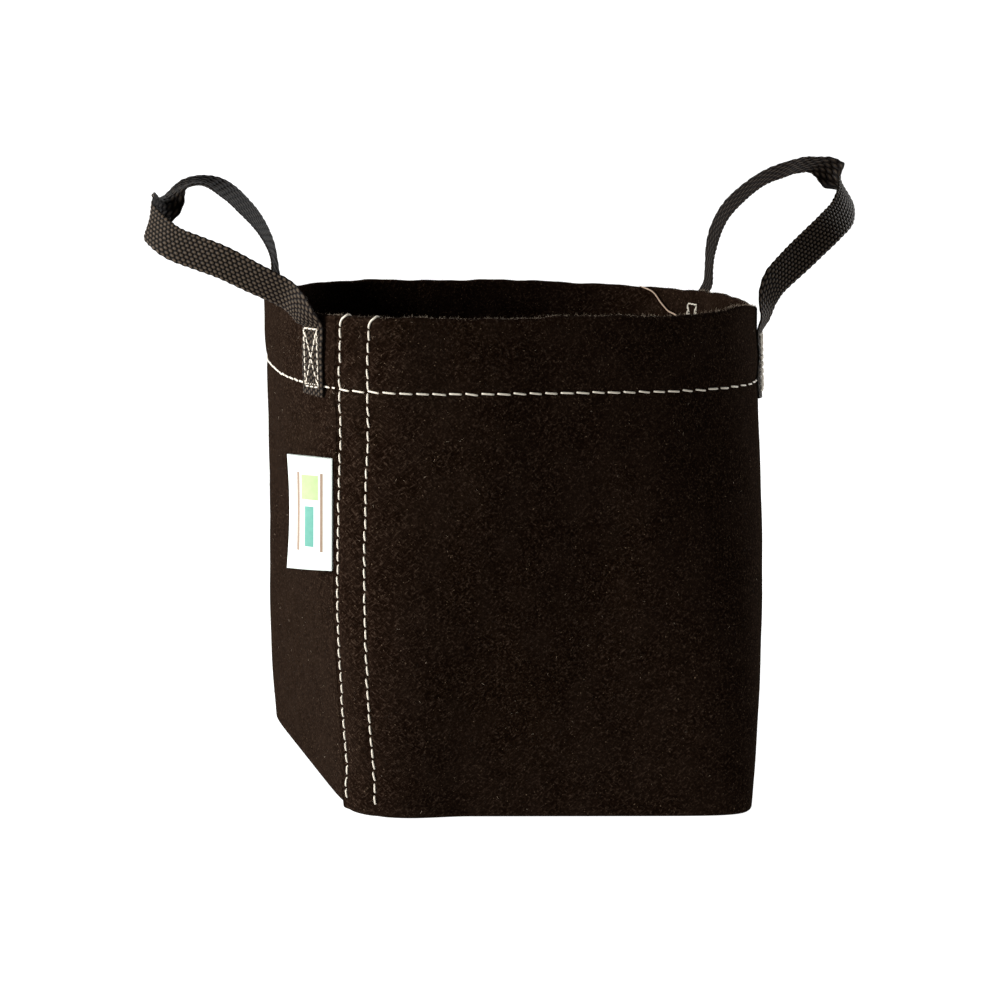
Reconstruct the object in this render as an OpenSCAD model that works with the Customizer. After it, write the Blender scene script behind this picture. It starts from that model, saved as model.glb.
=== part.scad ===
// Fabric grow bag: a wrapped felt wall with a lapped seam and a folded hem, a felt base,
// two webbing handles sewn outside the rim, and a folded size label held in the seam.
// Millimetres, +Z up. The origin is the centre of the base, on the floor. The front is -Y.

/* [Bag] */
// Height from the floor to the rim
bag_h = 180; // [120:1:300]
// Width of the base, left to right
base_w = 150; // [110:1:220]
// Depth of the base, front to back
base_d = 154; // [110:1:220]
// Width at half height, where the soft wall bellies out
belly_w = 166; // [120:1:240]
// Depth at half height
belly_d = 174; // [120:1:240]
// Width at the rim
rim_w = 178; // [130:1:250]
// Depth at the rim
rim_d = 168; // [120:1:250]
// How far the slack base sits turned against the rim, in degrees
base_turn = -10; // [-15:0.5:15]
// How far the base is pushed out of square, in degrees
base_skew = -14; // [-18:0.5:18]

/* [Felt] */
// Thickness of the felt
felt_t = 1.2; // [0.8:0.1:2]
// Space between two folded or lapped layers
layer_gap = 0.2; // [0.1:0.05:0.4]
// Depth of the hem that is folded to the inside
hem_depth = 30; // [20:1:40]
// Height of the seam allowances inside, round the base
allowance_h = 7; // [5:0.5:10]

/* [Lapped seam] */
// Direction of the outer layer's raw edge, seen from above, +X being 0
lap_edge_angle = 221.5; // [200:0.5:240]
// Angle between the raw edge and the hidden end of the inner layer
lap_span = 9; // [7:0.5:12]
// Directions of the two stitch rows
seam_row_angles = [222.7, 228.9];

/* [Webbing] */
// Width of the webbing
strap_w = 12; // [9:0.5:16]
// Thickness of the webbing
strap_t = 1.3; // [0.9:0.1:2]
// How far each sewn end reaches down from the rim
foot_len = 29.5; // [24:0.5:34]
// Direction of the front end of the right handle, seen from above
foot_front_angle = -31; // [-40:1:-25]
// Direction of its rear end
foot_rear_angle = 21; // [15:1:35]
// How much further round to the front the left handle's front end is sewn, in degrees
left_front_shift = 3; // [0:0.5:6]
// How much further round to the back the left handle's rear end is sewn, in degrees
left_rear_shift = 15; // [0:0.5:20]
// How much lower the right handle's front end is sewn
right_front_drop = 3.3; // [0:0.1:5]

/* [Threads] */
// Thickness of the sewing thread
thread_d = 0.9; // [0.6:0.05:1.1]
// Distance of the hem stitches below the rim
hem_row_depth = 26; // [16:0.5:28]
// Length of one hem stitch with its gap
hem_pitch = 5.6; // [4:0.1:8]
// Length of one seam stitch with its gap
seam_pitch = 4.4; // [3:0.1:6]
// Width of the box of stitches on a sewn end
box_w = 7.5; // [6:0.5:9]
// Height of that box
box_h = 20.5; // [16:0.5:22]
// Distance of the box below the rim
box_below_rim = 6; // [2:0.2:7]

/* [Label] */
// Width of the label outside the seam
label_w = 18; // [14:0.5:24]
// Height of the label
label_h = 40; // [25:1:60]
// Height of the label's lower edge above the floor
label_z = 89; // [40:1:110]
// Thickness of the folded tape
label_t = 0.8; // [0.6:0.1:1.2]

/* [Hidden] */

felt_colour = "#3a2e27";
webbing_colour = "#16120f";
thread_colour = "#e9e0cc";

// corner squareness of the base, the belly and the rim: 2 is an ellipse, higher is squarer
base_power = 9;
belly_power = 4.5;
rim_power = 3.1;

fold_out = felt_t + layer_gap / 2;      // outer radius of a fold
fold_in = layer_gap / 2;                // inner radius of a fold
double_t = 2 * felt_t + layer_gap;      // thickness of a folded edge
lap_lift = felt_t + layer_gap;          // the outer layer of the lap rides on the inner one
hem_lift = double_t + layer_gap;        // and on its hem
lap_ease = 14;                          // degrees over which the outer layer comes down
wall_segments = 66;
thread_sink = 0.25;                     // how deep a stitch sits in the felt
box_sink = 0.05;                        // and a box stitch in the webbing
hem_dash = 0.8;                         // share of a hem stitch's pitch that shows as thread
seam_dash = 0.75;                       // and of a seam stitch's
front_end_below_rim = 4;                // a front end stops here, where the webbing bends away
rear_end_above_rim = 1;
end_gap = 0.2;                          // between a sewn end and the wall

// The loose part of each strap, from its front end to its rear end, set by hand.
left_route = [[-90.6, -49.8, 185.9], [-95.5, -47.8, 188.5], [-101, -46, 191], [-111, -42, 196],
    [-119, -38, 199], [-127, -33, 202], [-133, -28, 205.5], [-136, -20, 210], [-132.5, -10, 214.5],
    [-126, 0, 218.7], [-115.5, 10, 221.7], [-106, 18, 219.6], [-98.7, 25, 215.2], [-88.9, 37, 205.7],
    [-83.4, 46, 198], [-81.2, 52.7, 190]];
right_route = [[89.8, -48.7, 188.1], [93.3, -46.2, 191.8], [107, -38, 201.5], [117, -32, 208.5],
    [125, -24, 214], [129, -14, 221], [128.8, -6, 228], [121.5, 2, 229.3], [114.5, 9, 228.4],
    [108, 16, 225], [102, 22, 219.5], [96, 27, 212], [93, 31, 204], [91.6, 33, 196],
    [91.2, 33.4, 186]];
left_hub = [-95, -8, 185];              // the point that each loop's inner face looks at
right_hub = [95, -8, 205];

// A thread end left hanging inside, at the back right.
tail_d = 0.6;
tail_route = [[70.7, 62.3, 179], [74.7, 56.3, 177], [76.9, 51.8, 173], [78.7, 47.3, 170],
    [80.5, 41.8, 168.5], [81.7, 37.3, 164], [82.3, 33.8, 158]];

// ---------- the bag's shape ----------

function blend3(a, b, c, u) = a * (1 - u) * (1 - 2 * u) + b * 4 * u * (1 - u) + c * u * (2 * u - 1);

function squircle(w, d, power, angle) =
    let (c = cos(angle), s = sin(angle))
    pow(pow(abs(c) / (w / 2), power) + pow(abs(s) / (d / 2), power), -1 / power) * [c, s];

// the outer face of the wall at a height and a direction, before any lift
function face_xy(z, angle) =
    let (u = z / bag_h,
         p = squircle(blend3(base_w, belly_w, rim_w, u), blend3(base_d, belly_d, rim_d, u),
                      blend3(base_power, belly_power, rim_power, u), angle),
         x = p.x + p.y * tan(base_skew) * (1 - u),
         turn = base_turn * (1 - u))
    [x * cos(turn) - p.y * sin(turn), x * sin(turn) + p.y * cos(turn)];

function along_xy(z, angle) =
    let (d = face_xy(z, angle + 0.5) - face_xy(z, angle - 0.5)) d / norm(d);
function out_xy(z, angle) = let (a = along_xy(z, angle)) [a.y, -a.x];
function face_point(z, angle, out = 0) = let (p = face_xy(z, angle) + out * out_xy(z, angle)) [p.x, p.y, z];

// directions at equal steps along the face at a height
function face_lengths(z, from, to, step = 2, i = 0, total = 0) =
    let (a = from + i * step,
         run = norm(face_xy(z, min(a + step, to)) - face_xy(z, a)))
    a >= to ? [[total, to]] :
    concat([[total, a]], face_lengths(z, from, to, step, i + 1, total + run));

// ---------- sweeps ----------

function unit(v) = v / norm(v);
function ease(x) = let (t = min(1, max(0, x))) t * t * (3 - 2 * t);

// closed solid through rings of equal length, capped at both ends
module loft(rings) {
    n = len(rings[0]);
    m = len(rings);
    points = [for (r = rings) each r];
    sides = [for (i = [0 : m - 2], j = [0 : n - 1])
        each [[i * n + j, i * n + (j + 1) % n, (i + 1) * n + j],
              [i * n + (j + 1) % n, (i + 1) * n + (j + 1) % n, (i + 1) * n + j]]];
    caps = [[for (j = [n - 1 : -1 : 0]) j], [for (j = [0 : n - 1]) (m - 1) * n + j]];
    polyhedron(points, concat(sides, caps), convexity = 8);
}

// a smooth curve through a hand-set route, with this many steps between its points
function through(p0, p1, p2, p3, t) =
    0.5 * (2 * p1 + (p2 - p0) * t + (2 * p0 - 5 * p1 + 4 * p2 - p3) * t * t
           + (3 * p1 - p0 - 3 * p2 + p3) * t * t * t);
function smooth(route, steps) =
    let (last = len(route) - 1)
    concat([for (i = [0 : last - 1], k = [0 : steps - 1])
                through(route[max(i - 1, 0)], route[i], route[i + 1], route[min(i + 2, last)], k / steps)],
           [route[last]]);

function tangent(route, i) =
    unit(route[min(i + 1, len(route) - 1)] - route[max(i - 1, 0)]);

// flat ribbon along a route; across gives the width direction at each point
module ribbon(route, across, width, thickness) {
    loft([for (i = [0 : len(route) - 1])
        let (t = tangent(route, i), face = unit(cross(t, across[i])), w = cross(face, t))
        [for (c = [[1, 1], [-1, 1], [-1, -1], [1, -1]])
            route[i] + w * c.x * width / 2 + face * c.y * thickness / 2]]);
}

// round cord along a route
module tube(route, d) {
    loft([for (i = [0 : len(route) - 1])
        let (t = tangent(route, i), side = unit(cross(t, [1, 0, 0])), up = cross(side, t))
        [for (a = [0 : 45 : 315]) route[i] + d / 2 * (cos(a) * side + sin(a) * up)]]);
}

// one stitch lying on a face: a short round bar from one point to another
module stitch(from, to) {
    d = to - from;
    translate(from)
        rotate([0, atan2(norm([d.x, d.y]), d.z), atan2(d.y, d.x)])
        cylinder(h = norm(d), d = thread_d, $fn = 16);
}

// ---------- felt ----------

function lap_fall(angle) = 1 - ease((angle - lap_edge_angle - lap_span - 2) / lap_ease);

// the wall's edge-on outline: [inward distance, height, 1 where the edge is folded double]
function wall_outline() =
    let (top = bag_h, hem_z = bag_h - hem_depth, mids = [25, 60, 100, 135])
    concat(
        [[0, fold_out, 1], [0, 14, 0]],
        [for (z = mids) [0, z, 0]],
        [[0, hem_z - 5, 0], [0, hem_z, 1], [0, (hem_z + top) / 2, 1], [0, top - fold_out, 1]],
        [for (a = [30 : 30 : 150]) [fold_out - fold_out * cos(a), top - fold_out + fold_out * sin(a), 1]],
        [[2 * fold_out, top - fold_out, 1], [double_t, hem_z, 1], [lap_lift, hem_z, 1],
         [lap_lift, top - fold_out, 1], [felt_t, top - fold_out, 1], [felt_t, hem_z, 1],
         [felt_t, hem_z - 5, 0]],
        [for (i = [len(mids) - 1 : -1 : 0]) [felt_t, mids[i], 0]],
        [[felt_t, 14, 0], [felt_t, fold_out, 1], [lap_lift, fold_out, 1], [lap_lift, allowance_h, 1],
         [double_t, allowance_h, 1], [2 * fold_out, fold_out, 1]],
        [for (a = [150 : -40 : 30]) [fold_out - fold_out * cos(a), fold_out - fold_out * sin(a), 1]]);

module wall_panel() {
    last = lap_edge_angle + 360 + lap_span;
    lengths = face_lengths(bag_h / 2, lap_edge_angle, last, 3);
    total = lengths[len(lengths) - 1][0];
    outline = wall_outline();
    color(felt_colour)
        loft([for (i = [0 : wall_segments])
            let (angle = i == 0 ? lap_edge_angle : lookup(i * total / wall_segments, lengths))
            [for (p = outline)
                let (lift = lap_fall(angle) * (p.z > 0 ? hem_lift : lap_lift))
                face_point(p.y, angle, lift - p.x)]]);
}

module base_outline(inset) {
    polygon([for (a = [0 : 5 : 355]) let (p = face_point(0, a, -inset)) [p.x, p.y]]);
}

module base_panel() {
    lip_out = double_t + 0.9;
    color(felt_colour) {
        linear_extrude(felt_t) base_outline(lip_out);
        linear_extrude(allowance_h) difference() {
            base_outline(lip_out);
            base_outline(lip_out + felt_t);
        }
    }
}

// ---------- label ----------

module size_label() {
    root = face_point(label_z + label_h / 2, lap_edge_angle + 3, felt_t + layer_gap / 2);
    bend = face_point(label_z + label_h / 2, lap_edge_angle - 1, label_t / 2 + 0.2);
    tip = bend + label_w * [cos(143), sin(143), 0];
    color("white")
        translate([0, 0, label_z])
        linear_extrude(label_h)
        polygon([for (side = [1, -1], p = side > 0 ? [bend, tip] : [tip, bend])
            [p.x, p.y] + side * label_t / 2 * [cos(53), sin(53)]]);
}

// ---------- handles ----------

function handle_angle(side, rear) =
    let (a = rear ? foot_rear_angle : foot_front_angle)
    side > 0 ? a : 180 - a + (rear ? -left_rear_shift : left_front_shift);
function end_drop(side, rear) = side > 0 && !rear ? right_front_drop : 0;

function foot_point(side, rear, z, out = 0) = face_point(z, handle_angle(side, rear), out);
function foot_across(side, rear) =
    let (a = along_xy(bag_h - foot_len / 2, handle_angle(side, rear))) side * [a.x, a.y, 0];

// Width directions of a loop: square to the loop, and along the wall at both ends.
// The strap turns a quarter turn over the first and the last fifth of its length.
function loop_across(route, hub, side) =
    let (last = len(route) - 1)
    [for (i = [0 : last])
        let (free = side * unit(cross(tangent(route, i), hub - route[i])),
             rear = i > last / 2,
             turned = ease(5 * (rear ? last - i : i) / last),
             at_foot = foot_across(side, rear) * (rear ? 1 : -1))
        unit(free * turned + at_foot * (1 - turned))];

module handle_loop(points, hub, side) {
    route = smooth(points, 3);
    color(webbing_colour)
        ribbon(route, loop_across(route, hub, side), strap_w, strap_t);
}

module handle_end(side, rear) {
    bottom = bag_h - foot_len - end_drop(side, rear);
    top = rear ? bag_h + rear_end_above_rim : bag_h - front_end_below_rim;
    route = [for (i = [0 : 3]) foot_point(side, rear, bottom + i / 3 * (top - bottom), strap_t / 2 + end_gap)];
    color(webbing_colour)
        ribbon(route, [for (p = route) foot_across(side, rear)], strap_w, strap_t);
}

module left_handle_loop() handle_loop(left_route, left_hub, -1);
module right_handle_loop() handle_loop(right_route, right_hub, 1);
module left_handle_front_end() handle_end(-1, false);
module left_handle_rear_end() handle_end(-1, true);
module right_handle_front_end() handle_end(1, false);
module right_handle_rear_end() handle_end(1, true);

// ---------- threads ----------

// a row of stitches round the bag at one height; out gives the distance out at each direction
module ring_row(z, out) {
    lengths = face_lengths(z, 0, 360, 3);
    total = lengths[len(lengths) - 1][0];
    count = round(total / hem_pitch);
    for (i = [0 : count - 1]) {
        a = lookup(i * total / count, lengths);
        b = lookup((i + hem_dash) * total / count, lengths);
        stitch(face_point(z, a, out(a)), face_point(z, b, out(b)));
    }
}

// how far round from the outer layer's raw edge
function past_edge(angle) = (angle + 360 - lap_edge_angle) % 360;
// the hem row's faces: outside it climbs over the lap, inside it lies on the inner layer up to its end
function hem_outer(angle) = lap_fall(lap_edge_angle + past_edge(angle)) * hem_lift;
function hem_inner(angle) = (past_edge(angle) < lap_span ? 0 : hem_outer(angle)) - double_t;

// a row of stitches up the lapped seam, on the outer or the inner face, spaced so that the
// hem row crosses it in the gap between two stitches
module seam_row(angle, out) {
    gap_middle = (1 + seam_dash) / 2 * seam_pitch;
    first = seam_pitch + (bag_h - hem_row_depth - gap_middle) % seam_pitch;
    count = floor((bag_h - first - 4) / seam_pitch);
    for (i = [0 : count - 1]) {
        z = first + i * seam_pitch;
        top = z + seam_dash * seam_pitch;
        stitch(face_point(z, angle, out(z)), face_point(top, angle, out(top)));
    }
}

function lap_outer(z) =
    z > bag_h - hem_depth - 5 ? hem_lift : z < 14 ? hem_lift : lap_lift;
function lap_inner(z) =
    z > bag_h - hem_depth ? -double_t : z < allowance_h ? -double_t : -felt_t;

// stitches end to end along a straight line
module straight_row(from, to, count) {
    step = (to - from) / count;
    for (i = [0 : count - 1]) stitch(from + (i + 0.14) * step, from + (i + 0.86) * step);
}

// a box with two diagonals, sewn through a strap end
module box_stitch(side, rear) {
    out = strap_t + end_gap + thread_d / 2 - box_sink;
    mid = foot_point(side, rear, bag_h - box_below_rim - end_drop(side, rear) - box_h / 2, out);
    across = foot_across(side, rear);
    corners = [for (c = [[-1, -1], [1, -1], [1, 1], [-1, 1]])
        mid + across * c.x * box_w / 2 + [0, 0, c.y * box_h / 2]];
    inset = 0.12;
    color(thread_colour) {
        for (i = [0 : 3]) straight_row(corners[i], corners[(i + 1) % 4], i % 2 == 0 ? 3 : 8);
        for (i = [0, 1])
            straight_row(corners[i] + inset * (corners[i + 2] - corners[i]),
                         corners[i + 2] - inset * (corners[i + 2] - corners[i]), 6);
    }
}

module hem_needle_thread()
    color(thread_colour)
    ring_row(bag_h - hem_row_depth, function (a) hem_outer(a) + thread_d / 2 - thread_sink);
module hem_bobbin_thread()
    color(thread_colour)
    ring_row(bag_h - hem_row_depth, function (a) hem_inner(a) - thread_d / 2 + thread_sink);
module base_seam_thread()
    color(thread_colour)
    base_row();
module seam_left_needle_thread()
    color(thread_colour)
    seam_row(seam_row_angles[0], function (z) lap_outer(z) + thread_d / 2 - thread_sink);
module seam_left_bobbin_thread()
    color(thread_colour)
    seam_row(seam_row_angles[0], function (z) lap_inner(z) - thread_d / 2 + thread_sink);
module seam_right_needle_thread()
    color(thread_colour)
    seam_row(seam_row_angles[1], function (z) lap_outer(z) + thread_d / 2 - thread_sink);
module seam_right_bobbin_thread()
    color(thread_colour)
    seam_row(seam_row_angles[1], function (z) lap_inner(z) - thread_d / 2 + thread_sink);

// stitches on the inner face of the base panel's turned-up edge
module base_row() {
    inset = double_t + 0.9 + felt_t + thread_d / 2 - thread_sink;
    z = allowance_h * 0.6;
    lengths = face_lengths(0, 0, 360, 3);
    total = lengths[len(lengths) - 1][0];
    count = round(total / hem_pitch);
    for (i = [0 : count - 1]) {
        a = face_point(0, lookup(i * total / count, lengths), -inset);
        b = face_point(0, lookup((i + hem_dash) * total / count, lengths), -inset);
        stitch([a.x, a.y, z], [b.x, b.y, z]);
    }
}

module left_front_box_stitch() box_stitch(-1, false);
module left_rear_box_stitch() box_stitch(-1, true);
module right_front_box_stitch() box_stitch(1, false);
module right_rear_box_stitch() box_stitch(1, true);

module loose_thread_tail() {
    color(thread_colour)
        tube(smooth(tail_route, 4), tail_d);
}

wall_panel();
base_panel();
size_label();
left_handle_loop();
left_handle_front_end();
left_handle_rear_end();
right_handle_loop();
right_handle_front_end();
right_handle_rear_end();
hem_needle_thread();
hem_bobbin_thread();
seam_left_needle_thread();
seam_left_bobbin_thread();
seam_right_needle_thread();
seam_right_bobbin_thread();
base_seam_thread();
left_front_box_stitch();
left_rear_box_stitch();
right_front_box_stitch();
right_rear_box_stitch();
loose_thread_tail();
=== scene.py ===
"""Fabric grow bag: felt wall with a lapped seam and a folded hem, felt base, woven webbing handles,
twisted sewing thread and a folded label. Lengths are in millimetres until a mesh is made."""
import math
import random

import bpy
import numpy as np
from mathutils import Matrix, Vector


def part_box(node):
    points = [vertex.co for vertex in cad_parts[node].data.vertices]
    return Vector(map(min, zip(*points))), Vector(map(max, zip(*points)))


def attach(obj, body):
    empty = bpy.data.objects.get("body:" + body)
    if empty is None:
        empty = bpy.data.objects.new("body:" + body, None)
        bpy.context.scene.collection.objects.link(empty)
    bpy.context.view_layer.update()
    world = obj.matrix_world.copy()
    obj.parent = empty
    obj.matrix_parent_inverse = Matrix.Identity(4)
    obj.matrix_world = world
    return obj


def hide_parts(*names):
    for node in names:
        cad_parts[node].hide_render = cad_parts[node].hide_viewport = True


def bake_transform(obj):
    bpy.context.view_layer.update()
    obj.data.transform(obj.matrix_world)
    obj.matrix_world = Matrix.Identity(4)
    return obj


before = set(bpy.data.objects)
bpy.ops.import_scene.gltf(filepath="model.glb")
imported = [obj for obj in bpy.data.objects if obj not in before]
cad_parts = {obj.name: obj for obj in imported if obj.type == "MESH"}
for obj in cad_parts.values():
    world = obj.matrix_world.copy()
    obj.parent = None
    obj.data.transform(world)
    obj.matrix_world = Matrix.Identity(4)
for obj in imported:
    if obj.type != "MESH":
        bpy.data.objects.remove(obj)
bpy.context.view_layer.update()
random.seed(7)
rng = np.random.default_rng(7)

MM = 0.001

# ---------- sizes, as the CAD model has them ----------

BAG_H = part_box("wall_panel")[1].z / MM
BASE_W, BASE_D, BASE_POWER = 150.0, 154.0, 9.0
BELLY_W, BELLY_D, BELLY_POWER = 166.0, 174.0, 4.5
RIM_W, RIM_D, RIM_POWER = 178.0, 168.0, 3.1
BASE_TURN, BASE_SKEW = -10.0, -14.0

FELT_T = 1.2
LAYER_GAP = 0.2
HEM_DEPTH = 30.0
ALLOWANCE_H = 7.0
DOUBLE_T = 2 * FELT_T + LAYER_GAP
FOLD_OUT = FELT_T + LAYER_GAP / 2
LAP_LIFT = FELT_T + LAYER_GAP
HEM_LIFT = DOUBLE_T + LAYER_GAP
BASE_INSET = DOUBLE_T + 0.9

LAP_EDGE = 221.5
LAP_SPAN = 9.0
LAP_EASE = 14.0
SEAM_ROWS = {"left": 222.7, "right": 228.9}

STRAP_W, STRAP_T = 12.0, 1.3
FOOT_LEN = 29.5
FOOT_ANGLES = {(1, False): -31.0, (1, True): 21.0, (-1, False): 214.0, (-1, True): 144.0}
FOOT_DROP = {(1, False): 3.3}
FOOT_TOPS = {(1, False): 170.5, (1, True): 176.0, (-1, False): 174.5, (-1, True): 176.0}
STRAP_SPACING = 0.26
TWIST_REACH = 5.5
OUTER_PITCH, INNER_PITCH = (1.32, 2.1), (1.5, 4.2)
BEAD_HEIGHT = 0.36
# Middles of the two loose loops, from the front sewn end to the rear one
ROUTES = {
    -1: [(-84.1, -55.2, 177.8), (-86.7, -53.5, 182.1), (-90.6, -49.8, 185.9), (-101, -46, 191),
         (-111, -42, 196), (-119, -38, 199), (-127, -33, 202), (-131.8, -28, 205.5),
         (-134.3, -20, 209.5), (-128.5, -10, 214.2), (-123.8, 0, 218.5), (-115.5, 10, 221.7),
         (-106, 18, 219.6), (-98.7, 25, 215.2), (-88.9, 37, 205.7), (-82.5, 48.4, 195.4),
         (-80.4, 55.6, 185.3)],
    1: [(86.1, -50.5, 176.5), (87.2, -50, 183.4), (89.3, -48.7, 188.1), (93.3, -46.2, 191.8),
        (107, -38, 201.5), (117, -32, 208.5), (125, -24, 214), (129, -14, 221),
        (123.8, -6, 229.4), (118.3, 2, 230), (114.5, 9, 228.4), (108, 16, 225),
        (102, 22, 219.5), (96, 27, 212), (93, 31, 204), (91.6, 33, 196),
        (91.2, 33.4, 189), (90.9, 33.6, 182)],
}
# How each strap's face turns: share of the loose length, then degrees away from REFERENCE,
# or a width direction
REFERENCE = (-0.22, -0.96, 0.17)
TURNS = {
    -1: [(0.06, 45), (0.12, 33), (0.2, 22), (0.3, 12), (0.35, 12), (0.43, (0.0, 0.1, 1.0)), (0.52, 247),
         (0.58, 240), (0.64, 230), (0.7, 232), (0.76, 240), (0.83, 252), (0.88, 262), (0.94, 264)],
    1: [(0.035, 74), (0.065, 48), (0.1, 36), (0.15, 24), (0.2, 12), (0.3, 8), (0.36, 10),
        (0.43, (-0.4, 0.2, 0.9)), (0.485, (-0.58, 0.2, 0.79)), (0.53, 222), (0.6, 234), (0.66, 238),
        (0.73, 241), (0.8, 245), (0.87, 250), (0.92, 262), (0.97, 256)],
}

THREAD_R = 0.36
BOX_THREAD_R = 0.3
THREAD_PROUD = 0.28
THREAD_INSIDE = 0.2
HEM_ROW_DEPTH = 26.0
HEM_PITCH = 5.6
SEAM_PITCH = 4.4
FIRST_SEAM_STITCH = 4.95
BOX_W, BOX_H, BOX_BELOW_RIM = 7.5, 20.5, 6.0

TAIL_D = 0.6
TAIL_ROUTE = [(70.7, 62.3, 179), (74.7, 56.3, 177), (76.9, 51.8, 173), (78.7, 47.3, 170), (80.5, 41.8, 168.5),
              (81.7, 37.3, 164), (82.3, 33.8, 158)]

# ---------- small helpers ----------


def ease(x):
    t = np.clip(x, 0.0, 1.0)
    return t * t * (3 - 2 * t)


def unit(v):
    v = np.asarray(v, float)
    return v / np.maximum(np.linalg.norm(v, axis=-1, keepdims=True), 1e-9)


def new_object(name, points, faces, material):
    """A mesh object from points in millimetres."""
    mesh = bpy.data.meshes.new(name)
    mesh.from_pydata((np.asarray(points, float) * MM).tolist(), [], faces)
    mesh.polygons.foreach_set("use_smooth", [True] * len(mesh.polygons))
    mesh.materials.append(material)
    mesh.update()
    obj = bpy.data.objects.new(name, mesh)
    bpy.context.scene.collection.objects.link(obj)
    return obj


def grid_faces(columns, rows, first=0, wrap_rows=True):
    """Quads of a grid of points stored column by column."""
    faces = []
    for i in range(columns - 1):
        a, b = first + i * rows, first + (i + 1) * rows
        for j in range(rows if wrap_rows else rows - 1):
            k = (j + 1) % rows
            faces.append((a + j, b + j, b + k, a + k))
    return faces


def smooth_route(points, spacing):
    """Points at equal spacing along a smooth curve through given points."""
    p = np.array(points, float)
    p = np.vstack([2 * p[0] - p[1], p, 2 * p[-1] - p[-2]])
    t = np.linspace(0, 1, 24, endpoint=False)[:, None]
    parts = []
    for a, b, c, d in zip(p[:-3], p[1:-2], p[2:-1], p[3:]):
        parts.append(0.5 * (2 * b + (c - a) * t + (2 * a - 5 * b + 4 * c - d) * t ** 2
                            + (3 * b - a - 3 * c + d) * t ** 3))
    dense = np.vstack(parts + [p[-2:-1]])
    run = np.concatenate([[0], np.cumsum(np.linalg.norm(np.diff(dense, axis=0), axis=1))])
    steps = np.linspace(0, run[-1], max(2, round(run[-1] / spacing) + 1))
    return np.column_stack([np.interp(steps, run, dense[:, k]) for k in range(3)])


# ---------- the bag's shape ----------


def blend3(base, belly, rim, u):
    return base * (1 - u) * (1 - 2 * u) + belly * 4 * u * (1 - u) + rim * u * (2 * u - 1)


def face_xy(z, angle):
    """The wall's outer face at heights and directions, before any lift."""
    u = np.asarray(z, float) / BAG_H
    c, s = np.cos(np.radians(angle)), np.sin(np.radians(angle))
    w = blend3(BASE_W, BELLY_W, RIM_W, u) / 2
    d = blend3(BASE_D, BELLY_D, RIM_D, u) / 2
    n = blend3(BASE_POWER, BELLY_POWER, RIM_POWER, u)
    r = ((np.abs(c) / w) ** n + (np.abs(s) / d) ** n) ** (-1 / n)
    x, y = r * c, r * s
    x = x + y * math.tan(math.radians(BASE_SKEW)) * (1 - u)
    turn = np.radians(BASE_TURN * (1 - u))
    return np.stack([x * np.cos(turn) - y * np.sin(turn), x * np.sin(turn) + y * np.cos(turn)], -1)


def out_xy(z, angle):
    along = unit(face_xy(z, np.asarray(angle) + 0.5) - face_xy(z, np.asarray(angle) - 0.5))
    return np.stack([along[..., 1], -along[..., 0]], -1)


def face_point(z, angle, out=0.0):
    xy = face_xy(z, angle) + np.asarray(out, float)[..., None] * out_xy(z, angle)
    z = np.broadcast_to(np.asarray(z, float), xy.shape[:-1])
    return np.concatenate([xy, z[..., None]], -1)


def equal_steps(z, first, last, count):
    """Directions at equal distances along the face at one height."""
    angles = np.linspace(first, last, 1500)
    p = face_xy(np.full(len(angles), float(z)), angles)
    run = np.concatenate([[0], np.cumsum(np.linalg.norm(np.diff(p, axis=0), axis=1))])
    return np.interp(np.linspace(0, run[-1], count), run, angles), run[-1]


def lap_fall(angle):
    return 1 - ease((np.asarray(angle, float) - LAP_EDGE - LAP_SPAN - 2) / LAP_EASE)


def lap_height(z, angle):
    """How far the outer layer stands out over the lap, with the hem's extra thickness near the top."""
    z = np.asarray(z, float)
    double = ease((z - (BAG_H - HEM_DEPTH - 6)) / 7) + ease((16 - z) / 8)
    lift = LAP_LIFT + (HEM_LIFT - LAP_LIFT) * np.clip(double, 0, 1)
    return lap_fall(angle) * lift


def sag(z, angle):
    """Soft unevenness of the standing felt, in millimetres outward."""
    a, u = np.radians(np.asarray(angle, float)), np.asarray(z, float) / BAG_H
    body = np.sin(np.pi * np.clip(u, 0, 1))
    swell = 0.7 * np.sin(3 * a + 1.1 + 2.0 * u) + 0.5 * np.sin(5 * a + 0.4 - 3.1 * u)
    ripple = 0.25 * np.sin(11 * a + 4 * u) + 0.16 * np.sin(17 * a - 7 * u + 1.3)
    dents = 0.12 * np.sin(31 * a + 9 * u) * np.sin(23 * u + 2 * a)
    hem_pull = -0.55 * np.exp(-((np.asarray(z, float) - (BAG_H - HEM_ROW_DEPTH)) / 1.8) ** 2)
    hem_swell = 0.35 * np.exp(-((np.asarray(z, float) - (BAG_H - HEM_ROW_DEPTH + 9)) / 6.0) ** 2)
    return body * (swell + ripple) + dents + hem_pull + hem_swell


def seam_pull(angle):
    """The stitch rows of the lapped seam draw the felt in."""
    degree = 95.0 * np.radians(1.0)
    pull = 0.0
    for row in SEAM_ROWS.values():
        pull = pull - 0.45 * np.exp(-((np.asarray(angle, float) - row) * degree / 1.5) ** 2)
    return pull


def bump_at(angle, middle, width):
    """A smooth bump round one direction, both in degrees."""
    away = (np.asarray(angle, float) - middle + 180) % 360 - 180
    return np.exp(-(away / width) ** 2)


def rim_wave(angle):
    """Up and down of the rim, in millimetres."""
    a = np.radians(np.asarray(angle, float))
    ripple = (0.35 * np.sin(4 * a + 0.6) + 0.3 * np.sin(9 * a + 2.0) + 0.16 * np.sin(23 * a)
              + 0.1 * np.sin(47 * a + 1))
    return (ripple - 1.6 * bump_at(angle, 36, 16) + 1.9 * bump_at(angle, -42, 12)
            - 1.2 * bump_at(angle, 195, 16))


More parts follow.
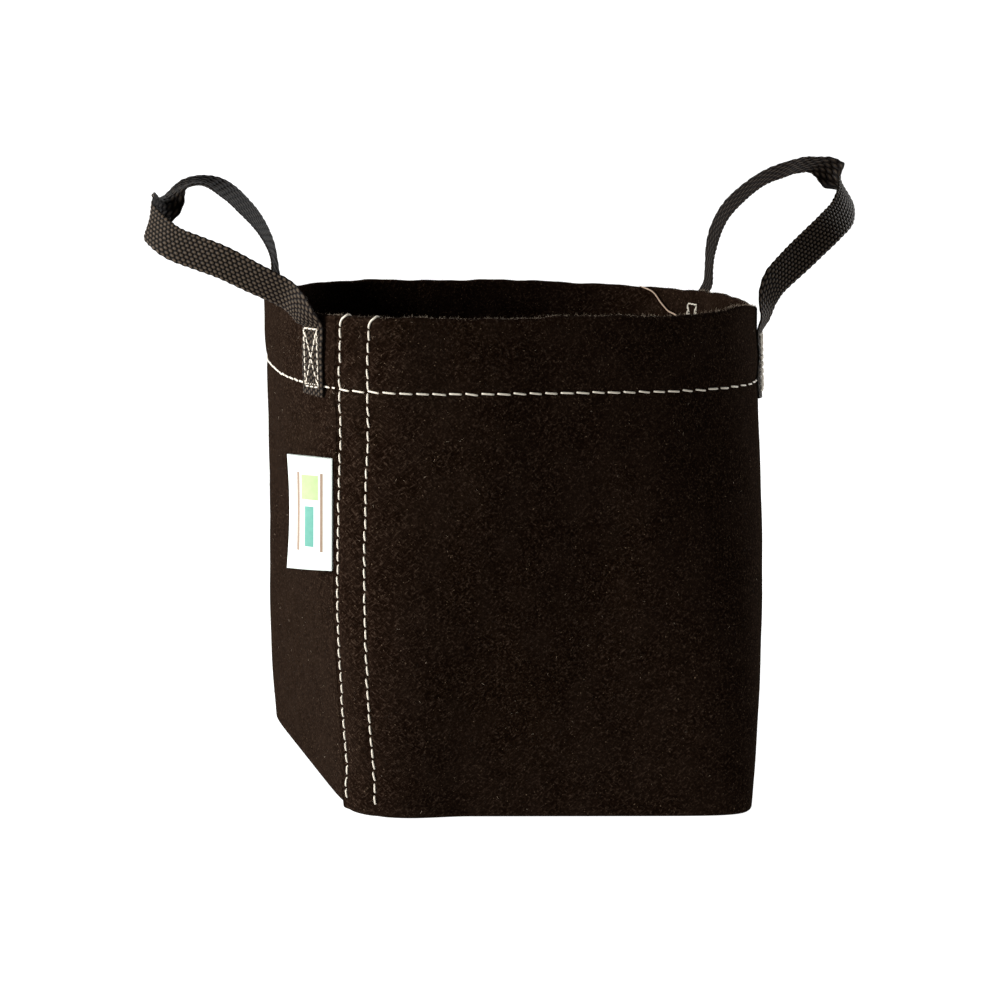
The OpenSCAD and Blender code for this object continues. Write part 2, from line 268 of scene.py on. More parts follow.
def rim_rise(z, angle):
    """How much of the rim's wave reaches down to a height."""
    return rim_wave(angle) * ease((z / BAG_H - 0.6) / 0.4)


# ---------- materials ----------


class Nodes:
    """A short way to wire a material's nodes."""

    def __init__(self, name):
        self.material = bpy.data.materials.new(name)
        self.material.use_nodes = True
        self.tree = self.material.node_tree
        self.shader = self.tree.nodes["Principled BSDF"]
        self.place = self.add("ShaderNodeTexCoord").outputs["Object"]

    def add(self, kind, **settings):
        node = self.tree.nodes.new(kind)
        for key, value in settings.items():
            setattr(node, key, value)
        return node

    def put(self, value, socket):
        if isinstance(value, bpy.types.NodeSocket):
            self.tree.links.new(value, socket)
        else:
            socket.default_value = value

    def math(self, operation, a, b):
        node = self.add("ShaderNodeMath", operation=operation)
        self.put(a, node.inputs[0])
        self.put(b, node.inputs[1])
        return node.outputs[0]

    def stretched(self, turn, stretch):
        """Object coordinates turned, then drawn out along their own axes."""
        node = self.add("ShaderNodeMapping", vector_type="TEXTURE")
        self.put(self.place, node.inputs["Vector"])
        node.inputs["Rotation"].default_value = [math.radians(v) for v in turn]
        node.inputs["Scale"].default_value = stretch
        return node.outputs[0]

    def attribute(self, name):
        return self.add("ShaderNodeAttribute", attribute_name=name).outputs["Fac"]

    def noise(self, scale, detail=3.0, roughness=0.55, vector=None, distortion=0.0):
        node = self.add("ShaderNodeTexNoise")
        self.put(vector or self.place, node.inputs["Vector"])
        node.inputs["Scale"].default_value = scale
        node.inputs["Detail"].default_value = detail
        node.inputs["Roughness"].default_value = roughness
        node.inputs["Distortion"].default_value = distortion
        return node.outputs["Fac"]

    def ramp(self, value, stops):
        node = self.add("ShaderNodeValToRGB")
        self.put(value, node.inputs[0])
        stop = node.color_ramp.elements
        while len(stop) < len(stops):
            stop.new(0.5)
        for element, (position, colour) in zip(stop, stops):
            element.position = position
            element.color = (*colour, 1)
        return node.outputs["Color"]

    def mix(self, factor, a, b):
        node = self.add("ShaderNodeMix", data_type="RGBA")
        self.put(factor, node.inputs["Factor"])
        self.put(a if isinstance(a, bpy.types.NodeSocket) else (*a, 1), node.inputs["A"])
        self.put(b if isinstance(b, bpy.types.NodeSocket) else (*b, 1), node.inputs["B"])
        return node.outputs["Result"]

    def bump(self, height, strength, distance):
        node = self.add("ShaderNodeBump")
        self.put(height, node.inputs["Height"])
        node.inputs["Strength"].default_value = strength
        node.inputs["Distance"].default_value = distance
        return node.outputs["Normal"]

    def finish(self, colour, normal=None, **constants):
        self.put(colour, self.shader.inputs["Base Color"])
        if normal:
            self.put(normal, self.shader.inputs["Normal"])
        for key, value in constants.items():
            self.put(value, self.shader.inputs[key.replace("_", " ")])
        return self.material


def felt_material(name):
    """Needle-punched felt: matted fibres lying on the slant, dark brown with pale flecks."""
    n = Nodes(name)
    slant = n.noise(1500, 3, 0.6, n.stretched((35, 40, 10), (1.0, 1.0, 3.2)), 0.4)
    counter = n.noise(1400, 3, 0.6, n.stretched((-35, -42, 0), (1.0, 1.0, 3.0)), 0.4)
    clumps = n.noise(90, 3, 0.5)
    strokes = n.math("MAXIMUM", slant, counter)
    colour = n.ramp(strokes, [(0.47, (0.0030, 0.0013, 0.0006)), (0.58, (0.0078, 0.0040, 0.0023)),
                              (0.72, (0.032, 0.0205, 0.0140))])
    colour = n.mix(n.ramp(clumps, [(0.4, (0, 0, 0)), (0.7, (0.35, 0.35, 0.35))]), colour,
                   (0.0125, 0.0073, 0.0047))
    flecks = n.ramp(n.noise(1500, 1, 0.5), [(0.735, (0, 0, 0)), (0.775, (1, 1, 1))])
    colour = n.mix(flecks, colour, (0.09, 0.062, 0.04))
    height = n.math("ADD", strokes, n.math("MULTIPLY", clumps, 0.6))
    normal = n.bump(height, 0.9, 0.0007)
    return n.finish(colour, normal, Roughness=0.95, Specular_IOR_Level=0.0, Sheen_Weight=0.012,
                    Sheen_Roughness=0.5, Sheen_Tint=(0.95, 0.82, 0.7, 1))


def webbing_material(name):
    """Black polypropylene yarn with painted light: bead crowns carry a tan painted highlight, streaked along
    their filaments, and the gaps between beads carry painted shade.
    """
    n = Nodes(name)
    filament = n.noise(2600, 2, 0.5)
    # Painted light: this mask gives each bead's crown a painted highlight and leaves the gaps between beads
    # in painted shade.
    bead_highlight = n.ramp(n.attribute("bead_highlight"), [(0.5, (0, 0, 0)), (0.98, (1, 1, 1))])
    # Tan painted highlight colour for the bead crowns, streaked by the filament noise.
    crown_highlight = n.mix(filament, (0.010, 0.0068, 0.0043), (0.095, 0.071, 0.050))
    # Near-black painted shade in the gaps, blended up to the painted highlight on the crowns.
    colour = n.mix(bead_highlight, (0.0022, 0.0012, 0.0007), crown_highlight)
    normal = n.bump(filament, 0.3, 0.00012)
    return n.finish(colour, normal, Roughness=0.5, Specular_IOR_Level=0.04)


def thread_material(name, tint):
    """Thick cream thread with a faint fuzz."""
    n = Nodes(name)
    filament = n.noise(2400, 2, 0.6)
    colour = n.mix(filament, tuple(0.72 * c for c in tint), tint)
    normal = n.bump(filament, 0.4, 0.0001)
    return n.finish(colour, normal, Roughness=0.62, Sheen_Weight=0.2)


def label_material(name, low, high, direction):
    """White satin tape with a generic printed pattern of bands, in the label's own directions."""
    n = Nodes(name)
    split = n.add("ShaderNodeSeparateXYZ")
    n.put(n.place, split.inputs[0])
    across = n.add("ShaderNodeVectorMath", operation="DOT_PRODUCT")
    n.put(n.place, across.inputs[0])
    across.inputs[1].default_value = (*direction, 0)
    span = n.add("ShaderNodeMapRange")
    n.put(across.outputs["Value"], span.inputs["Value"])
    span.inputs["From Min"].default_value, span.inputs["From Max"].default_value = low[0], high[0]
    rise = n.add("ShaderNodeMapRange")
    n.put(split.outputs["Z"], rise.inputs["Value"])
    rise.inputs["From Min"].default_value, rise.inputs["From Max"].default_value = low[1], high[1]
    x, y = span.outputs[0], rise.outputs[0]

    def band(value, start, end):
        return n.math("MULTIPLY", n.math("GREATER_THAN", value, start), n.math("LESS_THAN", value, end))

    weave = n.noise(3000, 1, 0.5)
    colour = n.mix(weave, (0.50, 0.55, 0.51), (0.58, 0.63, 0.59))
    fade = n.noise(500, 3)
    pale = n.mix(fade, (0.25, 0.42, 0.13), (0.32, 0.49, 0.19))
    teal = n.mix(fade, (0.03, 0.20, 0.15), (0.07, 0.27, 0.21))
    brown = n.mix(fade, (0.16, 0.10, 0.06), (0.24, 0.16, 0.10))
    block = n.math("MULTIPLY", band(x, 0.30, 0.68), band(y, 0.62, 0.84))
    colour = n.mix(block, colour, pale)
    bar = n.math("MULTIPLY", band(x, 0.40, 0.60), band(y, 0.20, 0.56))
    colour = n.mix(bar, colour, teal)
    for start in (0.20, 0.72):
        rule = n.math("MULTIPLY", band(x, start, start + 0.06), band(y, 0.16, 0.86))
        colour = n.mix(rule, colour, brown)
    normal = n.bump(weave, 0.25, 0.0001)
    return n.finish(colour, normal, Roughness=0.5, Sheen_Weight=0.15)


felt = felt_material("felt")
webbing = webbing_material("webbing")
thread = thread_material("thread", (0.62, 0.56, 0.46))
tan_thread = thread_material("tan_thread", (0.40, 0.28, 0.19))

# ---------- felt panels ----------


def wall_outline():
    """The wall's edge-on outline from the bottom of its outer face round to the bottom fold:
    [inward distance, height], with fine steps where the face shows."""
    top = BAG_H - FOLD_OUT
    hem_z = BAG_H - HEM_DEPTH
    outer = [(0.0, z) for z in np.linspace(FOLD_OUT, top, 92)]
    over = [(FOLD_OUT * (1 - math.cos(a)), top + FOLD_OUT * math.sin(a))
            for a in np.linspace(0.25, math.pi - 0.25, 9)]
    hem = [(DOUBLE_T, z) for z in np.linspace(top, hem_z + 0.5, 18)]
    edge = [(DOUBLE_T - 0.25, hem_z + 0.1), (FELT_T + LAYER_GAP + 0.25, hem_z), (FELT_T, hem_z + 0.3)]
    inner = [(FELT_T, z) for z in np.linspace(hem_z - 1, ALLOWANCE_H + 1.5, 34)]
    turn = [(FELT_T + LAYER_GAP, ALLOWANCE_H), (DOUBLE_T, ALLOWANCE_H - 0.2), (DOUBLE_T, FOLD_OUT + 1)]
    under = [(FOLD_OUT * (1 - math.cos(a)), FOLD_OUT - FOLD_OUT * math.sin(a))
             for a in np.linspace(math.pi - 0.1, 0.25, 8)]
    return outer + over + hem + edge + inner + turn + under


def make_wall():
    outline = np.array(wall_outline())
    last = LAP_EDGE + 360 + LAP_SPAN
    angles, length = equal_steps(BAG_H / 2, LAP_EDGE, last, 540)
    a, inset = np.meshgrid(angles, outline[:, 0], indexing="ij")
    z = np.broadcast_to(outline[:, 1], a.shape)
    out = lap_height(z, a) + sag(z, a) * ease(z / 12) + seam_pull(a) - inset
    points = face_point(z, a, out)
    points[..., 2] = np.where(z > 20, z + rim_rise(z, a), z)
    columns, rows = a.shape
    faces = grid_faces(columns, rows)
    faces += [tuple(range(rows - 1, -1, -1)), tuple((columns - 1) * rows + j for j in range(rows))]
    wall = new_object("felt_wall", points.reshape(-1, 3), faces, felt)
    return wall, length


def make_base():
    """The base panel with its turned-up edge, slightly dished."""
    angles = np.linspace(0, 360, 240, endpoint=False)
    rim = face_point(np.zeros(len(angles)), angles, np.full(len(angles), -BASE_INSET))[:, :2]
    inner = face_point(np.zeros(len(angles)), angles, np.full(len(angles), -BASE_INSET - FELT_T))[:, :2]
    shares = np.linspace(0.04, 0.97, 22)
    under = [np.column_stack([rim * s, np.zeros(len(rim))]) for s in shares]
    side = [np.column_stack([rim * (1 - 0.25 / 80), np.full(len(rim), 0.12)])]
    side += [np.column_stack([rim, np.full(len(rim), z)]) for z in (0.7, 2.5, 5, ALLOWANCE_H - 0.3)]
    lip = [np.column_stack([(rim + inner) / 2, np.full(len(rim), ALLOWANCE_H)])]
    lip += [np.column_stack([inner, np.full(len(rim), z)]) for z in (ALLOWANCE_H - 0.4, 4, FELT_T + 0.6)]
    top = []
    for s in shares[::-1]:
        dish = 0.25 * np.sin(7 * inner[:, 0] / 75) * np.sin(5 * inner[:, 1] / 75 + s) * (1 - s ** 4)
        top.append(np.column_stack([inner * s, FELT_T + dish]))
    sections = under + side + lip + top
    points = np.vstack(sections + [[[0, 0, 0]], [[0, 0, FELT_T]]])
    rows = len(angles)
    faces = grid_faces(len(sections), rows)
    low, high = len(points) - 2, len(points) - 1
    faces += [(low, j, (j + 1) % rows) for j in range(rows)]
    end = (len(sections) - 1) * rows
    faces += [(high, end + (j + 1) % rows, end + j) for j in range(rows)]
    return new_object("felt_base", points, faces, felt)


wall, wall_length = make_wall()
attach(wall, "bag")
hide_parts("wall_panel")

base = make_base()
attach(base, "bag")
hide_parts("base_panel")

# ---------- webbing ----------


def foot_outward(side, rear):
    return np.array([*out_xy(BAG_H, FOOT_ANGLES[side, rear]), 0.0])


def foot_across(side, rear):
    out = foot_outward(side, rear)
    return side * np.array([-out[1], out[0], 0.0])


def foot_bottom(side, rear):
    return BAG_H - FOOT_LEN - FOOT_DROP.get((side, rear), 0.0)


def strap_widths(side, tangent, share):
    """The width direction at each point, from the listed turns."""
    reference = np.array(REFERENCE)
    toward = unit(reference - (tangent @ reference)[:, None] * tangent)
    beside = np.cross(tangent, toward) * side
    stations = [0.0]
    widths = [unit(np.cross(foot_outward(side, False), tangent[np.argmax(share > 0)]))]
    for station, turn in TURNS[side]:
        i = int(np.argmax(share >= station))
        if isinstance(turn, tuple):
            width = np.array(turn)
            width = width if width @ widths[-1] > 0 else -width
        else:
            f = math.radians(turn)
            width = np.cross(math.cos(f) * toward[i] + math.sin(f) * beside[i], tangent[i])
        stations.append(station)
        widths.append(unit(width))
    stations.append(1.0)
    widths.append(unit(np.cross(foot_outward(side, True), tangent[np.argmax(share >= 1)])))
    widths = np.array(widths)
    return np.column_stack([np.interp(share, stations, widths[:, k]) for k in range(3)])


def strap_line(side, spacing):
    """Centreline of one strap from its front sewn end to its rear one, with its directions. The face
    direction is the strap's outer side."""
    feet = {}
    for rear in (False, True):
        angle = FOOT_ANGLES[side, rear]
        heights = np.linspace(foot_bottom(side, rear), FOOT_TOPS[side, rear], 4)
        feet[rear] = [face_point(z, angle, STRAP_T / 2 + 0.25 + sag(z, angle)) for z in heights]
    line = smooth_route(feet[False] + list(np.array(ROUTES[side], float)) + feet[True][::-1], spacing)
    tangent = unit(np.gradient(line, axis=0))
    run = np.arange(len(line)) * spacing
    start = FOOT_TOPS[side, False] - foot_bottom(side, False)
    stop = run[-1] - (FOOT_TOPS[side, True] - foot_bottom(side, True))
    share = np.clip((run - start) / (stop - start), 0, 1)
    widths = strap_widths(side, tangent, share)
    reach = round(TWIST_REACH / spacing)
    kernel = np.ones(2 * reach + 1) / (2 * reach + 1)
    widths = np.column_stack([np.convolve(np.pad(widths[:, k], reach, "edge"), kernel, "valid")
                              for k in range(3)])
    sewn = np.where(share[:, None] < 0.5, np.cross(foot_outward(side, False), tangent),
                    np.cross(foot_outward(side, True), tangent))
    on_foot = ease(np.maximum(start - run, run - stop) / 3 + 0.5)[:, None]
    face = unit(np.cross(tangent, unit(widths * (1 - on_foot) + sewn * on_foot)))
    return line, np.cross(face, tangent), face


def weave(u, v, pitch_u, pitch_v):
    """Height of a woven face: staggered beads of yarn. u runs across the strap, v along it."""
    column = np.floor(u / pitch_u + 0.5)
    du = (u - column * pitch_u) / (0.54 * pitch_u)
    shifted = v / pitch_v + 0.5 * (column % 2)
    dv = (shifted - np.floor(shifted + 0.5)) / 0.47
    return np.sqrt(np.clip(1 - du ** 2 - dv ** 2, 0, 1))


def make_strap(side, name):
    line, across, face = strap_line(side, STRAP_SPACING)
    edge = np.linspace(-0.5, 0.5, 55) * STRAP_W
    ring = [(u, 1) for u in edge] + [(u, -1) for u in edge[::-1]]
    u = np.array([r[0] for r in ring])
    top = np.array([r[1] for r in ring], float)
    v = np.arange(len(line)) * STRAP_SPACING
    uu, vv = np.meshgrid(u, v)
    outer, inner = weave(uu, vv, *OUTER_PITCH), weave(uu, vv + 0.7, *INNER_PITCH)
    relief = np.where(top > 0, outer, inner)
    body = np.sqrt(np.clip(1 - (np.abs(uu) / (STRAP_W / 2)) ** 8, 0.02, 1))
    thick = (STRAP_T / 2 - BEAD_HEIGHT + BEAD_HEIGHT * relief) * body
    cup = 0.25 * (uu / (STRAP_W / 2)) ** 2
    wobble = 0.12 * np.sin(vv * 2.03) * (np.abs(uu) > STRAP_W * 0.46)
    offset = (top * thick - cup)[..., None]
    points = line[:, None] + (uu + wobble)[..., None] * across[:, None] + offset * face[:, None]
    rows = len(u)
    faces = grid_faces(len(line), rows)
    faces += [tuple(range(rows - 1, -1, -1)), tuple((len(line) - 1) * rows + j for j in range(rows))]
    strap = new_object(name, points.reshape(-1, 3), faces, webbing)
    # Painted highlight mask taken from the weave relief: crowns lit, gaps in painted shade. The inner side
    # gets a weaker painted highlight (0.7), which is painted shade on that side.
    bead_highlight = strap.data.attributes.new("bead_highlight", "FLOAT", "POINT")
    bead_highlight.data.foreach_set("value", (relief * np.where(top > 0, 1.0, 0.7)).reshape(-1))
    return strap


for side, word in ((-1, "left"), (1, "right")):
    strap = make_strap(side, f"{word}_handle_webbing")
    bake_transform(strap)
    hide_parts(f"{word}_handle_loop", f"{word}_handle_front_end", f"{word}_handle_rear_end")

# ---------- threads ----------


def thread_mesh(paths, radius, sides=10):
    """Twisted thread along each path; a path is a run of points. The ends dive into the felt."""
    points, faces = [], []
    for path in paths:
        path = np.asarray(path, float)
        tangent = unit(np.gradient(path, axis=0))
        axis = np.array([0.3, 0.2, 1.0]) if abs(tangent[0][2]) < 0.9 else np.array([1.0, 0.3, 0.1])
        side = unit(np.cross(tangent, axis))
        up = np.cross(side, tangent)
        run = np.concatenate([[0], np.cumsum(np.linalg.norm(np.diff(path, axis=0), axis=1))])
        turn = run[:, None] * 2.4
        phi = np.linspace(0, 2 * math.pi, sides, endpoint=False)[None]
        ply = 0.86 + 0.14 * np.abs(np.cos(1.5 * phi + turn))
        taper = np.sqrt(np.clip(1 - (2 * run / run[-1] - 1) ** 10, 0.15, 1))[:, None]
        r = radius * ply * taper
        ring = (path[:, None] + (r * np.cos(phi))[..., None] * side[:, None]
                + (r * np.sin(phi))[..., None] * up[:, None])
        first = sum(len(p) for p in points)
        points.append(ring.reshape(-1, 3))
        faces += grid_faces(len(path), sides, first)
        faces += [tuple(first + j for j in range(sides - 1, -1, -1)),
                  tuple(first + (len(path) - 1) * sides + j for j in range(sides))]
    return np.vstack(points), faces


def stitch_path(start, end, outward, sink=0.75, lean=0.0, steps=13):
    """One stitch: out of one needle hole, along the face, into the next."""
    t = np.linspace(0, 1, steps)[:, None]
    arch = np.clip(1 - (2 * t - 1) ** 6, 0, 1)
    sideways = unit(np.cross(outward, end - start)) * lean * (t - 0.5)
    return start + (end - start) * t + outward * (arch - 1) * sink + sideways


def put_threads(name, paths, node, radius=THREAD_R):
    points, faces = thread_mesh(paths, radius)
    obj = new_object(name, points, faces, thread)
    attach(obj, "bag")
    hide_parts(node)


def hem_row(inside):
    z = BAG_H - HEM_ROW_DEPTH
    _, total = equal_steps(z, 0, 360, 10)
    count = round(total / HEM_PITCH)
    marks, _ = equal_steps(z, LAP_EDGE + 0.6, LAP_EDGE + 360.6, count + 1)
    paths = []
    for i in range(count):
        gap = 0.09 + 0.02 * rng.standard_normal()
        a = marks[i] + gap * (marks[i + 1] - marks[i])
        b = marks[i + 1] - gap * (marks[i + 1] - marks[i])
        ends = []
        for angle in (a, b):
            out = sag(z, angle) + seam_pull(angle)
            if not inside:
                out = out + lap_height(z, angle) + THREAD_PROUD
            elif (angle - LAP_EDGE) % 360 < LAP_SPAN:
                out = out - DOUBLE_T - THREAD_INSIDE
            else:
                out = out + lap_height(z, angle) - DOUBLE_T - THREAD_INSIDE
            ends.append(face_point(z + 0.12 * rng.standard_normal(), angle, out))
        outward = np.array([*out_xy(z, (a + b) / 2), 0.0]) * (-1 if inside else 1)
        paths.append(stitch_path(ends[0], ends[1], outward, lean=-0.35))
    return paths


def seam_row(angle, inside):
    count = int((BAG_H - FIRST_SEAM_STITCH - 4) // SEAM_PITCH) + (0 if inside else 1)
    paths = []
    for i in range(count):
        z = FIRST_SEAM_STITCH + i * SEAM_PITCH + 0.1 * rng.standard_normal()
        ends = []
        for height in (z, z + 0.78 * SEAM_PITCH):
            out = sag(height, angle) * ease(height / 12) + seam_pull(angle)
            if inside:
                thick = DOUBLE_T if height > BAG_H - HEM_DEPTH or height < ALLOWANCE_H else FELT_T
                out = out - thick - THREAD_INSIDE
            else:
                out = out + lap_height(height, angle) + THREAD_PROUD
            ends.append(face_point(height + rim_rise(height, angle),
                                   angle + 0.08 * rng.standard_normal(), out))
        outward = np.array([*out_xy(z, angle), 0.0]) * (-1 if inside else 1)
        paths.append(stitch_path(ends[0], ends[1], outward, lean=0.3))
    if not inside:
        top = BAG_H + rim_wave(angle)
        lift = HEM_LIFT + seam_pull(angle) + sag(BAG_H, angle)
        hook = [face_point(top - 3.9, angle, lift - 0.1), face_point(top - 3.2, angle, lift + 0.3),
                face_point(top - 1.4, angle + 0.4, lift + 0.4),
                face_point(top - 0.4, angle + 1.0, lift + 0.3),
                face_point(top + 0.35, angle + 1.5, lift - 0.7),
                face_point(top - 0.3, angle + 1.7, lift - 2.2)]
        paths.append(smooth_route(hook, 0.35))
    return paths


def straight_row(start, end, count, outward):
    step = (end - start) / count
    return [stitch_path(start + (i + 0.08) * step, start + (i + 0.92) * step, outward, sink=0.5, lean=0.2,
                        steps=9) for i in range(count)]


def box_row(side, rear):
    """A box with two diagonals, showing on the strap and, through the felt, inside the rim."""
    angle = FOOT_ANGLES[side, rear]
    across = foot_across(side, rear)
    outward = np.array([*out_xy(BAG_H, angle), 0.0])
    paths = []
    for inside in (False, True):
        high = BAG_H - BOX_BELOW_RIM - FOOT_DROP.get((side, rear), 0.0)
        low = high - BOX_H
        offset = -DOUBLE_T - 0.15 if inside else STRAP_T + 0.5

        def corner(x, z):
            foot = face_point(z, angle, offset + sag(z, angle))
            return foot + across * x * BOX_W / 2

        corners = [corner(-1, low), corner(1, low), corner(1, high), corner(-1, high)]
        direction = -outward if inside else outward
        for i in range(4):
            paths += straight_row(corners[i], corners[(i + 1) % 4], 3 if i % 2 == 0 else 8, direction)
        above = np.array([0, 0, 0.9])
        paths += straight_row(corners[0] + above, corners[1] + above, 3, direction)
        for i in (0, 1):
            reach = corners[i + 2] - corners[i]
            paths += straight_row(corners[i] + 0.06 * reach, corners[i + 2] - 0.06 * reach, 8, direction)
    return paths


put_threads("hem_thread_outside", hem_row(False), "hem_needle_thread")
put_threads("hem_thread_inside", hem_row(True), "hem_bobbin_thread")
for row, angle in SEAM_ROWS.items():
    put_threads(f"seam_{row}_thread_outside", seam_row(angle, False), f"seam_{row}_needle_thread")
    put_threads(f"seam_{row}_thread_inside", seam_row(angle, True), f"seam_{row}_bobbin_thread")
for side, word in ((-1, "left"), (1, "right")):
    for rear, end in ((False, "front"), (True, "rear")):
        put_threads(f"{word}_{end}_box_thread", box_row(side, rear), f"{word}_{end}_box_stitch",
                    radius=BOX_THREAD_R)


def base_row():
    """Stitches on the inner face of the base panel's turned-up edge."""
    z = ALLOWANCE_H * 0.6
    _, total = equal_steps(0, 0, 360, 10)
    count = round(total / HEM_PITCH)
    marks, _ = equal_steps(0, 0, 360, count + 1)
    inset = BASE_INSET + FELT_T
    paths = []
    for a, b in zip(marks[:-1], marks[1:]):
        start = face_point(0, a + 0.1 * (b - a), -inset - 0.25)
        end = face_point(0, b - 0.1 * (b - a), -inset - 0.25)
        start[2] = end[2] = z
        paths.append(stitch_path(start, end, -np.array([*out_xy(0, (a + b) / 2), 0.0])))
    return paths


put_threads("base_seam_thread_rows", base_row(), "base_seam_thread")

# ---------- loose thread end ----------

tail_line = smooth_route(TAIL_ROUTE, 0.4)
tail_points, tail_faces = thread_mesh([tail_line], TAIL_D / 2)
tail = new_object("loose_thread", tail_points, tail_faces, tan_thread)
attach(tail, "bag")
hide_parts("loose_thread_tail")

# ---------- label ----------


def make_label():
    """Folded tape: two layers that part a little, joined at the outer fold, rising out of the seam."""
    low, high = (np.array(c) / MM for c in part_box("size_label"))
    z0, z1 = low[2], high[2]
    root = face_point((z0 + z1) / 2, LAP_EDGE - 1, 0.6)[:2]
    out = np.array([math.cos(math.radians(143)), math.sin(math.radians(143))])
    normal = np.array([out[1], -out[0]])
    width = 18.0
    t = 0.32
    run = np.linspace(0, 1, 40)
    belly = 0.45 * np.sin(np.pi * run) + 0.1
    front = [(s * width, b + t) for s, b in zip(run, belly)]
    fold = [(width + 0.35 * math.sin(a), (t + 0.12) * math.cos(a))
            for a in np.linspace(0.3, math.pi - 0.3, 7)]
    back = [(s * width, -b - t) for s, b in zip(run[::-1], belly[::-1])]
    back_in = [(s * width, -b) for s, b in zip(run[:-2], belly[:-2])]
    front_in = [(s * width, b) for s, b in zip(run[-3::-1], belly[-3::-1])]
    profile = front + fold + back + back_in + front_in
    heights = np.linspace(z0, z1, 60)
    points = []
    for h in heights:
        u = (h - z0) / (z1 - z0)
        for s, n in profile:
            share = s / width
            curl = 1.6 * share ** 2 * math.sin(2.2 * u + 0.4) - 0.7 * share
            waist = -0.5 * math.sin(math.pi * u) * share
            xy = root + out * (s + waist) + normal * (n + curl)
            points.append((xy[0], xy[1], h - 0.5 * share * (1 - u) + 0.3 * share * u))
    rows = len(profile)
    faces = grid_faces(len(heights), rows)
    start = float(root @ out)
    material = label_material("label_tape", (start * MM, z0 * MM), ((start + width) * MM, z1 * MM),
                              (out[0], out[1]))
    faces += [tuple(range(rows - 1, -1, -1)), tuple((len(heights) - 1) * rows + j for j in range(rows))]
    return new_object("folded_label", np.array(points), faces, material)


label = make_label()
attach(label, "bag")
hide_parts("size_label")

# ---------- loose fibres ----------


def fibre_mesh(roots, directions, lengths, width, bend):
    """Thin curved hairs with three sides."""
    points, faces = [], []
    for root, direction, length, curl in zip(roots, directions, lengths, bend):
        t = np.linspace(0, 1, 4)[:, None]
        line = root + direction * length * t + curl * length * t ** 2
        tangent = unit(np.gradient(line, axis=0))
        side = unit(np.cross(tangent, np.array([0.21, 0.35, 0.91])))
        up = np.cross(side, tangent)
        first = len(points) * 12
        ring = []
        for k in range(4):
            r = width * (1 - 0.6 * k / 3)
            for a in (0, 2.1, 4.2):
                ring.append(line[k] + r * (math.cos(a) * side[k] + math.sin(a) * up[k]))
        points.append(ring)
        faces += grid_faces(4, 3, first)
    return np.array(points).reshape(-1, 3), faces


def make_fuzz(name, count, material, length, width, stand, on_rim=False):
    angles = rng.uniform(LAP_EDGE, LAP_EDGE + 360, count)
    heights = np.full(count, BAG_H) if on_rim else rng.uniform(1.5, BAG_H - 1, count)
    out = sag(heights, angles) * ease(heights / 12) + lap_height(heights, angles) + seam_pull(angles)
    if on_rim:
        out = out - rng.uniform(0, DOUBLE_T, count)
    roots = face_point(heights, angles, out - 0.02)
    roots[:, 2] += rim_rise(heights, angles)
    outward = np.column_stack([out_xy(heights, angles), np.zeros(count)])
    along = np.column_stack([-outward[:, 1], outward[:, 0], np.zeros(count)])
    tilt = rng.uniform(0, 2 * math.pi, count)[:, None]
    lie = along * np.cos(tilt) + np.array([0, 0, 1.0]) * np.sin(tilt)
    rise = rng.uniform(0.05, stand, count)[:, None]
    up = np.array([0, 0, 1.0]) if on_rim else outward
    directions = unit(lie + up * rise)
    bend = unit(rng.standard_normal((count, 3))) * 0.35 - (0 if on_rim else outward * 0.3 * rise)
    lengths = rng.uniform(0.5, 1.0, count) * length
    points, faces = fibre_mesh(roots, directions, lengths, width, bend)
    obj = new_object(name, points, faces, material)
    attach(obj, "bag")
    return obj


def fibre_material(name, dark, light):
    n = Nodes(name)
    colour = n.mix(n.noise(300, 1), dark, light)
    return n.finish(colour, Roughness=0.8, Specular_IOR_Level=0.2)


dark_fibre = fibre_material("dark_fibre", (0.006, 0.0035, 0.002), (0.04, 0.027, 0.018))
pale_fibre = fibre_material("pale_fibre", (0.16, 0.10, 0.06), (0.42, 0.36, 0.28))
make_fuzz("wall_fuzz", 5200, dark_fibre, 1.5, 0.028, 0.5)
make_fuzz("wall_flecks", 420, pale_fibre, 1.1, 0.05, 0.12)
make_fuzz("rim_fuzz", 1600, pale_fibre, 1.0, 0.03, 0.9, on_rim=True)

# ---------- camera, light and floor ----------


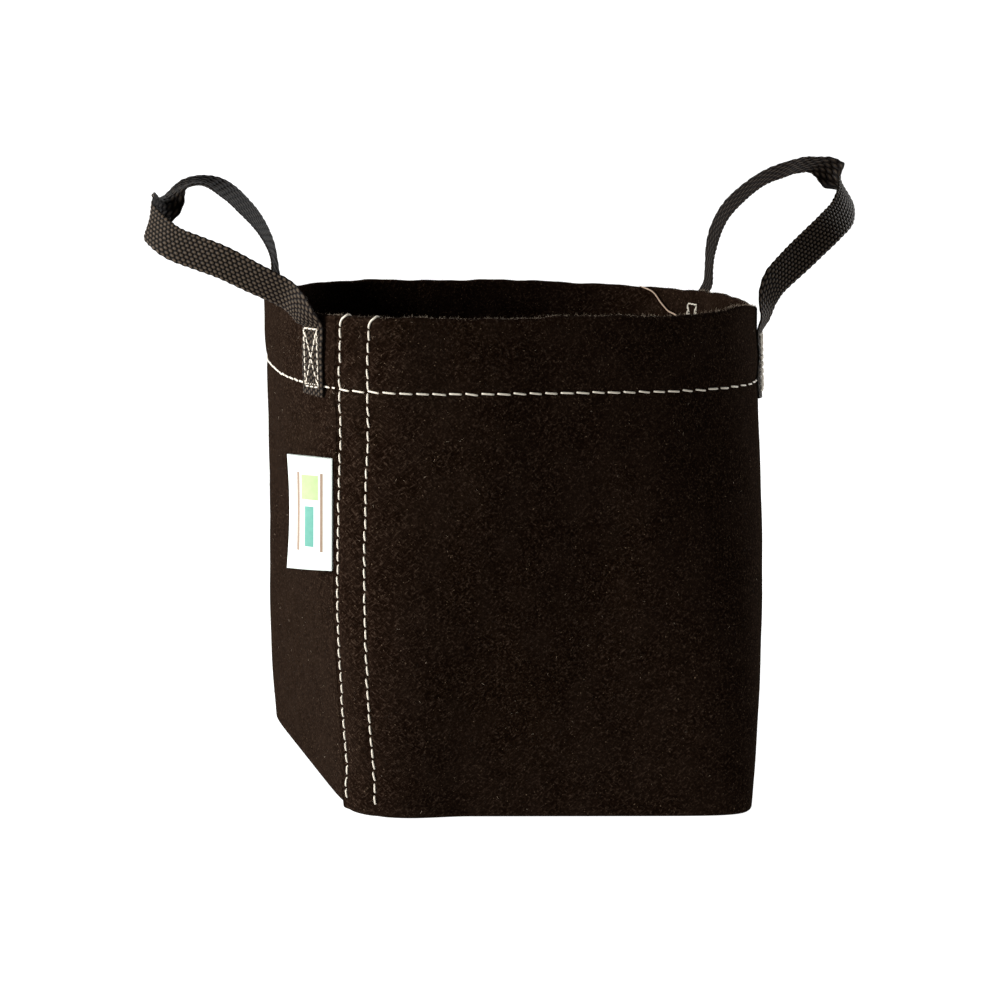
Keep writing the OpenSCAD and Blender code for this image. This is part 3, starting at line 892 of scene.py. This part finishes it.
def make_camera():
    """An 85 mm lens a little to the left and above, aimed at the bag's middle."""
    data = bpy.data.cameras.new("camera")
    data.lens = 85
    data.sensor_width = 36
    data.clip_start, data.clip_end = 0.05, 20
    camera = bpy.data.objects.new("camera", data)
    heading, pitch, roll = math.radians(12.95), math.radians(-9.67), math.radians(0.8)
    level = math.cos(pitch)
    forward = Vector((math.sin(heading) * level, math.cos(heading) * level, math.sin(pitch)))
    rotation = forward.to_track_quat("-Z", "Y").to_matrix() @ Matrix.Rotation(roll, 3, "Z")
    camera.matrix_world = Matrix.Translation((-0.2008, -0.8691, 0.2542)) @ rotation.to_4x4()
    bpy.context.scene.collection.objects.link(camera)
    bpy.context.scene.camera = camera


def area_light(name, place, target, size, power):
    data = bpy.data.lights.new(name, "AREA")
    data.shape = "RECTANGLE"
    data.size, data.size_y = size
    data.energy = power
    lamp = bpy.data.objects.new(name, data)
    lamp.location = place
    lamp.rotation_euler = (Vector(target) - Vector(place)).to_track_quat("-Z", "Y").to_euler()
    bpy.context.scene.collection.objects.link(lamp)


def make_studio():
    """Bright paper that stays white by itself, dim surroundings, and a low key light from the left."""
    paper = Nodes("studio_paper")
    tone = paper.mix(paper.noise(3, 2), (0.24, 0.24, 0.24), (0.26, 0.26, 0.26))
    paper.shader.inputs["Emission Color"].default_value = (1, 1, 1, 1)
    paper.shader.inputs["Emission Strength"].default_value = 0.98
    paper.finish(tone, Roughness=0.9)
    mesh = bpy.data.meshes.new("studio_floor")
    half, front, back, height, bend = 6.0, -6.0, 2.0, 3.0, 0.6
    profile = [(front, 0.0), (back - bend, 0.0)]
    profile += [(back - bend + bend * math.sin(a), bend * (1 - math.cos(a)))
                for a in np.linspace(0.1, math.pi / 2, 14)]
    profile += [(back, height)]
    points = [(x, y, z) for x in (-half, half) for y, z in profile]
    rows = len(profile)
    mesh.from_pydata(points, [], grid_faces(2, rows, wrap_rows=False))
    mesh.polygons.foreach_set("use_smooth", [True] * len(mesh.polygons))
    mesh.materials.append(paper.material)
    floor = bpy.data.objects.new("studio_floor", mesh)
    bpy.context.scene.collection.objects.link(floor)
    world = bpy.data.worlds.new("studio")
    world.use_nodes = True
    world.node_tree.nodes["Background"].inputs["Color"].default_value = (1, 1, 1, 1)
    world.node_tree.nodes["Background"].inputs["Strength"].default_value = 0.12
    bpy.context.scene.world = world
    area_light("key", (-1.5, -0.2, 0.5), (0, 0, 0.13), (0.5, 0.7), 58)
    area_light("edge", (1.2, 0.5, 0.5), (0, 0, 0.12), (0.5, 0.7), 13)
    bpy.context.scene.view_settings.view_transform = "Standard"


make_camera()
make_studio()
